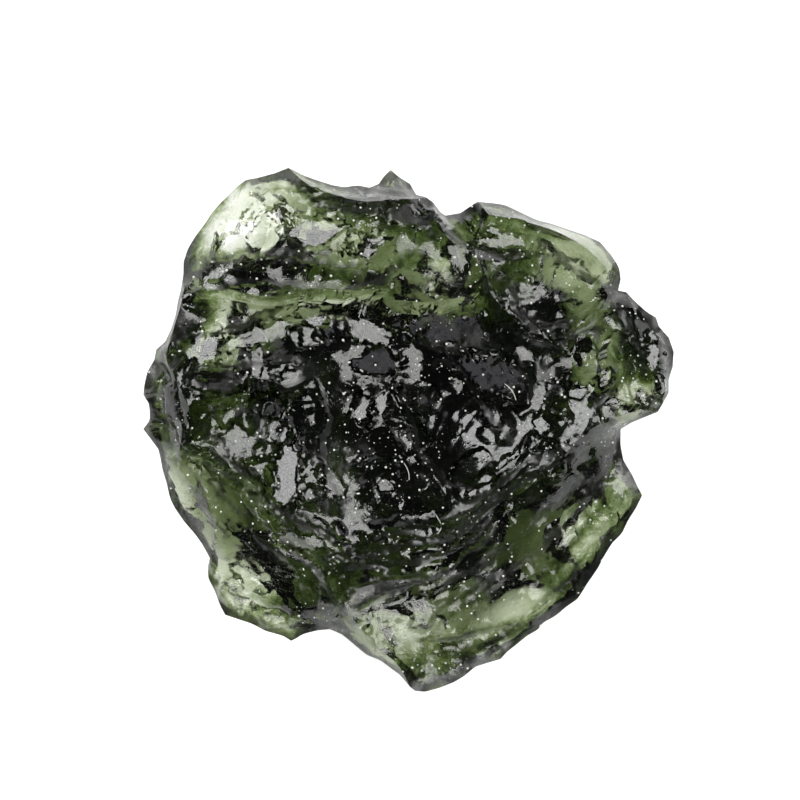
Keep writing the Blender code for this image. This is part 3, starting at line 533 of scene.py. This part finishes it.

# Middle and half sizes in mm, turn in degrees, and how much painted shade it adds there; a negative amount
# paints light
paintedShadeAndLightPatches = {
    "basin": ((-0.5, 1.0), (9.0, 5.5), 4, 0.35),
    "brow": ((-0.5, 11.1), (5.0, 1.3), 2, 0.55),
    "underRoll": ((-6.2, 7.9), (6.0, 1.3), -6, 0.46),
    "leftFold": ((-10.4, 5.6), (1.8, 1.6), 0, 0.80),
    "rollRight": ((1.0, 9.3), (2.6, 1.7), -20, 0.30),
    "shelf": ((6.3, 6.4), (4.0, 3.0), -15, 0.32),
    "notch": ((4.3, 10.0), (3.6, 1.7), -10, 0.45),
    "ear": ((12.0, 4.6), (2.8, 3.4), 10, 0.75),
    "rightRim": ((9.3, -7.6), (4.5, 1.2), 52, 0.40),
    "tip": ((1.5, -12.0), (4.0, 1.5), 15, 0.40),
    "leftFlange": ((-6.2, -6.0), (4.0, 1.2), -42, 0.20),
    "leftPale": ((-9.6, -4.4), (4.6, 2.0), -50, -0.30),
    "flangeTip": ((-4.6, -8.9), (2.4, 1.4), 0, 0.35),
    "cheek": ((-7.6, 10.2), (3.6, 2.0), 28, -0.30),
    "cheekEdge": ((-10.2, 9.0), (1.6, 3.0), -25, 0.30),
    "rollMiddle": ((-3.2, 9.6), (3.6, 1.5), -12, -0.20),
    "windowRow": ((-3.0, 6.2), (5.0, 1.1), -4, -0.85),
    "windowFar": ((2.0, 7.4), (2.6, 1.2), 0, -0.50),
    "foldGlow": ((-7.6, 5.4), (2.4, 0.9), 18, -0.45),
    "column": ((-3.2, -1.0), (1.0, 5.0), 4, -0.36),
    "leftEdge": ((-11.4, 1.8), (1.8, 4.4), 0, 0.45),
    "flangeRight": ((9.6, -2.2), (3.0, 2.8), 0, 0.55),
    "basinFar": ((4.0, 2.6), (4.5, 3.0), 0, 0.25),
    "columnFar": ((1.0, 1.2), (0.8, 3.0), -8, -0.40),
    "scoopEdge": ((9.5, 4.4), (1.5, 2.6), 10, -0.65),
    "lobe": ((9.5, 9.0), (2.2, 2.0), -30, -0.50),
    "lobeGlow": ((7.6, 7.9), (1.8, 0.9), -25, -0.50),
    "earLow": ((11.6, 1.6), (1.8, 0.9), 20, -0.50),
    "flangeWindow": ((5.9, -8.6), (1.7, 0.9), 28, -0.75),
    "flangeLow": ((7.4, -7.4), (3.4, 1.3), 45, 0.22),
    "flangeFoot": ((3.0, -10.6), (3.4, 0.9), 14, 0.22),
    "flangeOlive": ((6.4, -5.0), (6.0, 2.0), 40, -0.28),
    "shelfGlow": ((-8.6, 4.1), (2.6, 1.1), 5, -0.40),
    "tipPale": ((0.6, -10.6), (3.2, 1.4), -10, 0.08),
    "flangeMiddle": ((1.6, -9.0), (2.4, 1.2), 8, -0.12),
    "flangeFar": ((8.8, -4.6), (2.6, 1.2), 45, -0.10),
    "leftTip": ((-7.0, -8.9), (3.4, 1.6), -14, 0.22),
    "rowGapLeft": ((-6.2, 6.3), (0.7, 0.8), 30, 0.60),
    "rowGapMiddle": ((-3.4, 6.1), (0.5, 0.9), -25, 0.55),
    "rowGapRight": ((-0.2, 6.5), (0.6, 0.9), 10, 0.55),
    "streakHigh": ((5.4, -6.4), (5.4, 0.40), 36, 0.34),
    "streakFar": ((8.7, -5.4), (3.0, 0.28), 50, 0.40),
    "streakMiddle": ((4.6, -7.6), (4.4, 0.32), 26, 0.42),
    "streakLow": ((5.6, -10.0), (4.2, 0.35), 28, 0.45),
}


def addNode(tree, kind, settings=None, **inputs):
    node = tree.nodes.new(kind)
    for name, value in (settings or {}).items():
        setattr(node, name, value)
    for name, value in inputs.items():
        socket = node.inputs[name.replace("_", " ")]
        if isinstance(value, bpy.types.NodeSocket):
            tree.links.new(value, socket)
        else:
            socket.default_value = value
    return node


def mathNode(tree, operation, first, second=None):
    node = tree.nodes.new("ShaderNodeMath")
    node.operation = operation
    for socket, value in zip(node.inputs, (first, second)):
        if isinstance(value, bpy.types.NodeSocket):
            tree.links.new(value, socket)
        elif value is not None:
            socket.default_value = value
    return node.outputs[0]


def chipGroup():
    # splits a surface into flat chips, each tilted its own way, and gives their height
    tree = bpy.data.node_groups.new("flatChips", "ShaderNodeTree")
    tree.interface.new_socket("Place", in_out="INPUT", socket_type="NodeSocketVector")
    tree.interface.new_socket("Size", in_out="INPUT", socket_type="NodeSocketFloat")
    tree.interface.new_socket("Slope", in_out="INPUT", socket_type="NodeSocketFloat")
    tree.interface.new_socket("Height", in_out="OUTPUT", socket_type="NodeSocketFloat")
    given = tree.nodes.new("NodeGroupInput")
    result = tree.nodes.new("NodeGroupOutput")
    often = mathNode(tree, "DIVIDE", 1.0, given.outputs["Size"])
    cells = addNode(tree, "ShaderNodeTexVoronoi", Vector=given.outputs["Place"], Scale=often, Randomness=1.0)
    away = addNode(tree, "ShaderNodeVectorMath", {"operation": "SUBTRACT"})
    tree.links.new(given.outputs["Place"], away.inputs[0])
    tree.links.new(cells.outputs["Position"], away.inputs[1])
    tilt = addNode(tree, "ShaderNodeVectorMath", {"operation": "SUBTRACT"})
    tree.links.new(cells.outputs["Color"], tilt.inputs[0])
    tilt.inputs[1].default_value = (0.5, 0.5, 0.5)
    rise = addNode(tree, "ShaderNodeVectorMath", {"operation": "DOT_PRODUCT"})
    tree.links.new(away.outputs[0], rise.inputs[0])
    tree.links.new(tilt.outputs[0], rise.inputs[1])
    twice = mathNode(tree, "MULTIPLY", given.outputs["Slope"], 2.0)
    height = mathNode(tree, "MULTIPLY", rise.outputs["Value"], twice)
    tree.links.new(height, result.inputs["Height"])
    return tree


def setPaintedShadeAndLight(mesh, points, rimAway, crest):
    # how much painted shade and light there is at each point of the stone, and how worn its edge is
    wornAndShadedEdge = np.maximum(np.clip(1 - rimAway / mm / paintedShade["rim"][0], 0, 1), crest)
    mesh.attributes.new("wornAndShadedEdge", "FLOAT", "POINT").data.foreach_set("value", wornAndShadedEdge)
    # painted shade: the worn outline edge and crests are painted darker, besides being rougher
    amount = paintedShade["start"] + paintedShade["rim"][1] * wornAndShadedEdge
    # painted shade: darker inside the basin's outline
    reach, thicker = paintedShade["basinEdge"]
    inward, _ = besideLine(points[:, :2] / mm, throughPoints(paintedShade["basin"]))
    amount -= thicker * np.clip(inward / reach, -1, 0)
    # painted shade patches darken the tint; patches with a negative amount are painted light
    for middle, half, degrees, darker in paintedShadeAndLightPatches.values():
        reach = np.hypot(*inPatch(points, middle, half, degrees))
        amount += darker * np.clip(1.35 * (1.05 - reach), 0, 1)  # full in the middle, gone at the edge
    mesh.attributes.new("paintedShade", "FLOAT", "POINT").data.foreach_set("value", amount)


def paintedShadeTint(tree, spot):
    # the painted shade at each place, torn by noise, then the colour that it gives
    amount = addNode(tree, "ShaderNodeAttribute", {"attribute_name": "paintedShade"}).outputs["Fac"]
    size, detail, strength = paintedShade["tear"]
    shadeNoise = addNode(tree, "ShaderNodeTexNoise", Vector=spot, Scale=1 / (size * mm), Detail=detail,
                    Roughness=0.75, Distortion=0.6)
    shift = addNode(tree, "ShaderNodeMapRange", Value=shadeNoise.outputs["Fac"], From_Min=0.3, From_Max=0.7,
                    To_Min=-strength, To_Max=strength)
    amount = mathNode(tree, "ADD", shift.outputs["Result"], amount)
    share = addNode(tree, "ShaderNodeMapRange", {"interpolation_type": "SMOOTHSTEP"}, Value=amount,
                    From_Min=paintedShade["edge"][0], From_Max=paintedShade["edge"][1])
    # painted shade's colour: white where clear, olive half way, near black where darkest
    tint = addNode(tree, "ShaderNodeValToRGB", Fac=share.outputs["Result"])
    ramp = tint.color_ramp.elements
    ramp[0].color = (1, 1, 1, 1)
    ramp[1].color = (*paintedShade["dark"], 1)
    ramp.new(paintedShade["oliveAt"]).color = (*paintedShade["olive"], 1)
    return tint.outputs["Color"]


def glassMaterial():
    material = bpy.data.materials.new("moldaviteGlass")
    material.use_nodes = True
    tree = material.node_tree
    shader = tree.nodes["Principled BSDF"]
    shader.inputs["IOR"].default_value = glass["ior"]
    shader.inputs["Transmission Weight"].default_value = 1.0
    shader.inputs["Metallic"].default_value = 0.0
    shader.inputs["Coat Weight"].default_value = glass["sheen"][0]
    shader.inputs["Coat Roughness"].default_value = glass["sheen"][1]
    shader.inputs["Coat IOR"].default_value = glass["ior"]
    place = tree.nodes.new("ShaderNodeTexCoord")
    spot = place.outputs["Object"]
    # the painted light and shade tint the glass's Base Color
    tree.links.new(paintedShadeTint(tree, spot), shader.inputs["Base Color"])
    facing = tree.nodes.new("ShaderNodeSeparateXYZ")
    tree.links.new(place.outputs["Normal"], facing.inputs[0])
    below = mathNode(tree, "LESS_THAN", facing.outputs["Z"], 0.0)

    warp = addNode(tree, "ShaderNodeTexNoise", Vector=spot, Scale=glass["wanderScale"], Detail=1.0,
                   Roughness=0.6)
    bend = addNode(tree, "ShaderNodeVectorMath", {"operation": "MULTIPLY_ADD"})
    tree.links.new(warp.outputs["Color"], bend.inputs[0])
    bend.inputs[1].default_value = [glass["chipWander"] * mm] * 3
    tree.links.new(spot, bend.inputs[2])
    chips = chipGroup()
    height = None
    for size, top, under in glass["chips"]:
        slope = addNode(tree, "ShaderNodeMapRange", Value=below, To_Min=top, To_Max=under)
        group = addNode(tree, "ShaderNodeGroup", {"node_tree": chips}, Place=bend.outputs[0],
                        Size=size * mm, Slope=slope.outputs["Result"])
        chipped = group.outputs["Height"]
        height = chipped if height is None else mathNode(tree, "ADD", height, chipped)
    grain = addNode(tree, "ShaderNodeTexNoise", Vector=spot, Scale=1 / (glass["grain"] * mm), Detail=2.0)
    fine = mathNode(tree, "MULTIPLY", grain.outputs["Fac"], glass["grainHeight"] * mm)
    height = mathNode(tree, "ADD", height, fine)
    bump = addNode(tree, "ShaderNodeBump", Strength=1.0, Distance=1.0, Height=height)
    tree.links.new(bump.outputs["Normal"], shader.inputs["Normal"])

    etch = addNode(tree, "ShaderNodeTexNoise", Vector=spot, Scale=glass["etchScale"], Detail=3.0,
                   Roughness=0.6)
    wornAndShadedEdge = addNode(tree, "ShaderNodeAttribute", {"attribute_name": "wornAndShadedEdge"})
    rough = mathNode(tree, "MULTIPLY", wornAndShadedEdge.outputs["Fac"], glass["wear"])
    underside = mathNode(tree, "MULTIPLY", below, glass["underWear"])
    dull = mathNode(tree, "ADD", mathNode(tree, "ADD", etch.outputs["Fac"], rough), underside)
    start, end = glass["etching"]
    fresh, etched = glass["polish"]
    polish = addNode(tree, "ShaderNodeMapRange", Value=dull, From_Min=start, From_Max=end,
                     To_Min=fresh, To_Max=etched)
    tree.links.new(polish.outputs["Result"], shader.inputs["Roughness"])

    inside = addNode(tree, "ShaderNodeVolumeAbsorption", Color=(*glass["absorption"], 1),
                     Density=glass["density"])
    tree.links.new(inside.outputs["Volume"], tree.nodes["Material Output"].inputs["Volume"])
    return material


# Dust: white specks that lie on the top, thicker in two drifts, and a few short hairs

dust = {
    "perSquareMetre": 5.0e6,
    "smallest": 0.018 * mm,  # half the width of a speck
    "largest": 0.070 * mm,
    "highest": 10.1 * mm,  # none lies higher than this
    "steepest": 0.25,  # upward share of the normal; none lies where it is steeper
    "patchSize": 3.5 * mm,
    "patchEdge": (0.42, 0.66),  # the noise that goes from between the patches to inside them
    "between": 0.12,  # how much lies between them, as a share
    "driftReach": 2.6 * mm,
    "driftExtra": 1.6,  # how much more lies in the middle of a drift
    "driftFar": (0.9 * mm, 2.6 * mm, 6.3 * mm),
    "driftNear": (0.0, -1.8 * mm, 5.8 * mm),
    "seed": 3,
    "dull": (0.45, 0.47, 0.42),
    "bright": (0.95, 0.95, 0.90),
    "hairHalf": 0.014 * mm,  # half the width of a hair
    "hairLift": 0.03 * mm,  # how high its middle lies over the glass
}

# Where each hair runs, in mm
hairs = {
    "basin": [(1.80, -4.25), (2.05, -4.60), (2.05, -4.95), (1.85, -5.15)],
    "middle": [(0.20, -1.65), (0.50, -2.05), (0.45, -2.50)],
    "roll": [(-7.10, 5.10), (-6.70, 4.80), (-6.55, 4.35)],
    "right": [(5.20, 2.30), (5.65, 2.00), (5.75, 1.50)],
}


def dustGroup():
    # strews specks over whatever faces up, in patches and drifts
    tree = bpy.data.node_groups.new("dustSpecks", "GeometryNodeTree")
    sockets = {
        "Geometry": "Geometry", "Density": "Float", "Smallest": "Float", "Largest": "Float",
        "Highest": "Float", "Patch Size": "Float", "Drift Reach": "Float", "Drift A": "Vector",
        "Drift B": "Vector", "Seed": "Int", "Material": "Material",
    }
    for name, kind in sockets.items():
        tree.interface.new_socket(name, in_out="INPUT", socket_type="NodeSocket" + kind)
    tree.interface.new_socket("Geometry", in_out="OUTPUT", socket_type="NodeSocketGeometry")
    given = tree.nodes.new("NodeGroupInput").outputs
    result = tree.nodes.new("NodeGroupOutput")
    place = tree.nodes.new("GeometryNodeInputPosition").outputs[0]
    normal = tree.nodes.new("GeometryNodeInputNormal").outputs[0]
    facing = addNode(tree, "ShaderNodeSeparateXYZ", Vector=normal)
    spot = addNode(tree, "ShaderNodeSeparateXYZ", Vector=place)
    upward = mathNode(tree, "GREATER_THAN", facing.outputs["Z"], dust["steepest"])
    low = mathNode(tree, "LESS_THAN", spot.outputs["Z"], given["Highest"])
    often = mathNode(tree, "DIVIDE", 1.0, given["Patch Size"])
    patches = addNode(tree, "ShaderNodeTexNoise", Vector=place, Scale=often, Detail=3.0)
    start, end = dust["patchEdge"]
    thin = addNode(tree, "ShaderNodeMapRange", Value=patches.outputs["Fac"], From_Min=start, From_Max=end,
                   To_Min=dust["between"], To_Max=1.0)
    amount = thin.outputs["Result"]
    for drift in ("Drift A", "Drift B"):
        away = tree.nodes.new("ShaderNodeVectorMath")
        away.operation = "DISTANCE"
        tree.links.new(place, away.inputs[0])
        tree.links.new(given[drift], away.inputs[1])
        near = addNode(tree, "ShaderNodeMapRange", Value=away.outputs["Value"],
                       From_Max=given["Drift Reach"], To_Min=dust["driftExtra"], To_Max=0.0)
        amount = mathNode(tree, "ADD", amount, near.outputs["Result"])
    amount = mathNode(tree, "MULTIPLY", mathNode(tree, "MULTIPLY", amount, upward), low)
    density = mathNode(tree, "MULTIPLY", amount, given["Density"])
    strewn = addNode(tree, "GeometryNodeDistributePointsOnFaces", Mesh=given["Geometry"], Density=density,
                     Seed=given["Seed"])
    draw = addNode(tree, "FunctionNodeRandomValue", Seed=given["Seed"])
    small = mathNode(tree, "POWER", draw.outputs["Value"], 3.0)
    size = addNode(tree, "ShaderNodeMapRange", Value=small, To_Min=given["Smallest"],
                   To_Max=given["Largest"])
    turn = addNode(tree, "FunctionNodeRandomValue", {"data_type": "FLOAT_VECTOR"})
    turn.inputs[1].default_value = (math.tau, math.tau, math.tau)
    speck = addNode(tree, "GeometryNodeMeshIcoSphere", Radius=1.0, Subdivisions=1)
    copies = addNode(tree, "GeometryNodeInstanceOnPoints", Points=strewn.outputs["Points"],
                     Instance=speck.outputs["Mesh"], Rotation=turn.outputs[0], Scale=size.outputs["Result"])
    solid = addNode(tree, "GeometryNodeRealizeInstances", Geometry=copies.outputs["Instances"])
    painted = addNode(tree, "GeometryNodeSetMaterial", Geometry=solid.outputs["Geometry"],
                      Material=given["Material"])
    tree.links.new(painted.outputs["Geometry"], result.inputs["Geometry"])
    return tree


def dustMaterial():
    material = bpy.data.materials.new("dustWhite")
    material.use_nodes = True
    tree = material.node_tree
    shader = tree.nodes["Principled BSDF"]
    shader.inputs["Roughness"].default_value = 0.9
    place = tree.nodes.new("ShaderNodeTexCoord")
    tone = addNode(tree, "ShaderNodeTexNoise", Vector=place.outputs["Object"], Scale=1500.0)
    ramp = addNode(tree, "ShaderNodeMix", {"data_type": "RGBA"}, Factor=tone.outputs["Fac"])
    ramp.inputs[6].default_value = (*dust["dull"], 1)
    ramp.inputs[7].default_value = (*dust["bright"], 1)
    tree.links.new(ramp.outputs[2], shader.inputs["Base Color"])
    return material


def makeDust(stonePiece, material):
    group = dustGroup()
    base = bpy.data.objects.new("dustBase", stonePiece.data)
    bpy.context.scene.collection.objects.link(base)
    modifier = base.modifiers.new("dust", "NODES")
    modifier.node_group = group
    values = {
        "Density": dust["perSquareMetre"], "Smallest": dust["smallest"], "Largest": dust["largest"],
        "Highest": dust["highest"], "Patch Size": dust["patchSize"], "Drift Reach": dust["driftReach"],
        "Drift A": dust["driftFar"], "Drift B": dust["driftNear"], "Seed": dust["seed"],
        "Material": material,
    }
    for socket in group.interface.items_tree:
        if socket.name in values and socket.in_out == "INPUT":
            modifier[socket.identifier] = values[socket.name]
    seen = base.evaluated_get(bpy.context.evaluated_depsgraph_get())
    mesh = bpy.data.meshes.new_from_object(seen)
    mesh.name = "dustSpecks"
    bpy.data.objects.remove(base)
    specks = bpy.data.objects.new("dustSpecks", mesh)
    bpy.context.scene.collection.objects.link(specks)
    report(f"{len(mesh.polygons) // 20} specks of dust")
    return specks


def makeHairs(stonePiece, material):
    tree = BVHTree.FromObject(stonePiece, bpy.context.evaluated_depsgraph_get())
    curve = bpy.data.curves.new("dustHairs", "CURVE")
    curve.dimensions = "3D"
    curve.bevel_depth = dust["hairHalf"]
    curve.bevel_resolution = 1
    curve.resolution_u = 6
    curve.use_fill_caps = True
    for points in hairs.values():
        spline = curve.splines.new("NURBS")
        spline.points.add(len(points) - 1)
        for point, (x, y) in zip(spline.points, points):
            hit = tree.ray_cast(Vector((x * mm, y * mm, 0.02)), Vector((0, 0, -1)))[0]
            point.co = (*(hit + Vector((0, 0, dust["hairLift"]))), 1)
        spline.use_endpoint_u = True
        spline.order_u = 3
    curve.materials.append(material)
    strands = bpy.data.objects.new("dustHairs", curve)
    bpy.context.scene.collection.objects.link(strands)
    return strands


# Studio

studio = {
    "cameraHeight": 240 * mm,  # over the middle of the stone's thickness
    "across": 40 * mm,  # what the picture takes in there
    "centre": (0.0, 1.5 * mm),
    "focus": 5 * mm,
    "floorLevel": -0.05 * mm,
    "floorSize": 4.0,
    "floorTone": 0.72,
    "floorGlow": 0.60,  # it glows a little, as a lit white table does under clear glass
    "world": 0.05,
}

# Softboxes: where they stand in metres, their width, how bright they look and their tint
lamps = {
    "left": {"at": (-0.62, 0.42, 0.52), "size": 0.56, "glow": 9.0, "tint": (1.0, 1.0, 1.0)},
    "right": {"at": (0.60, 0.30, 0.62), "size": 0.50, "glow": 8.0, "tint": (1.0, 1.0, 0.98)},
    "front": {"at": (0.10, -0.62, 0.66), "size": 0.44, "glow": 7.0, "tint": (1.0, 1.0, 0.98)},
    "top": {"at": (0.22, 0.16, 0.95), "size": 0.36, "glow": 1.2, "tint": (0.97, 0.94, 1.0)},
}


def makeStudio():
    scene = bpy.context.scene
    bpy.ops.mesh.primitive_plane_add(size=studio["floorSize"], location=(0, 0, studio["floorLevel"]))
    floor = bpy.context.object
    floor.name = "floor"
    material = bpy.data.materials.new("floorWhite")
    material.use_nodes = True
    shader = material.node_tree.nodes["Principled BSDF"]
    shader.inputs["Base Color"].default_value = (*[studio["floorTone"]] * 3, 1)
    shader.inputs["Roughness"].default_value = 1.0
    shader.inputs["Emission Color"].default_value = (1, 1, 1, 1)
    shader.inputs["Emission Strength"].default_value = studio["floorGlow"]
    floor.data.materials.append(material)

    world = bpy.data.worlds.new("studio")
    world.use_nodes = True
    world.node_tree.nodes["Background"].inputs["Color"].default_value = (1.0, 1.0, 1.0, 1)
    world.node_tree.nodes["Background"].inputs["Strength"].default_value = studio["world"]
    scene.world = world

    for name, lamp in lamps.items():
        light = bpy.data.lights.new(name, "AREA")
        light.energy = lamp["glow"] * math.pi * lamp["size"] ** 2
        light.size = lamp["size"]
        light.color = lamp["tint"]
        holder = bpy.data.objects.new(name, light)
        holder.location = lamp["at"]
        holder.rotation_euler = (-Vector(lamp["at"])).to_track_quat("-Z", "Y").to_euler()
        scene.collection.objects.link(holder)

    camera = bpy.data.cameras.new("camera")
    eye = bpy.data.objects.new("camera", camera)
    camera.sensor_width = 36
    camera.lens = camera.sensor_width * studio["cameraHeight"] / studio["across"]
    camera.clip_start = 0.01
    eye.location = (*studio["centre"], studio["focus"] + studio["cameraHeight"])
    scene.collection.objects.link(eye)
    scene.camera = eye
    scene.view_settings.view_transform = "Standard"


piece = makeStone()
piece.data.materials.append(glassMaterial())
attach(piece, "root")
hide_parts(stone["node"])
white = dustMaterial()
for extra in (makeDust(piece, white), makeHairs(piece, white)):
    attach(extra, "root")
makeStudio()
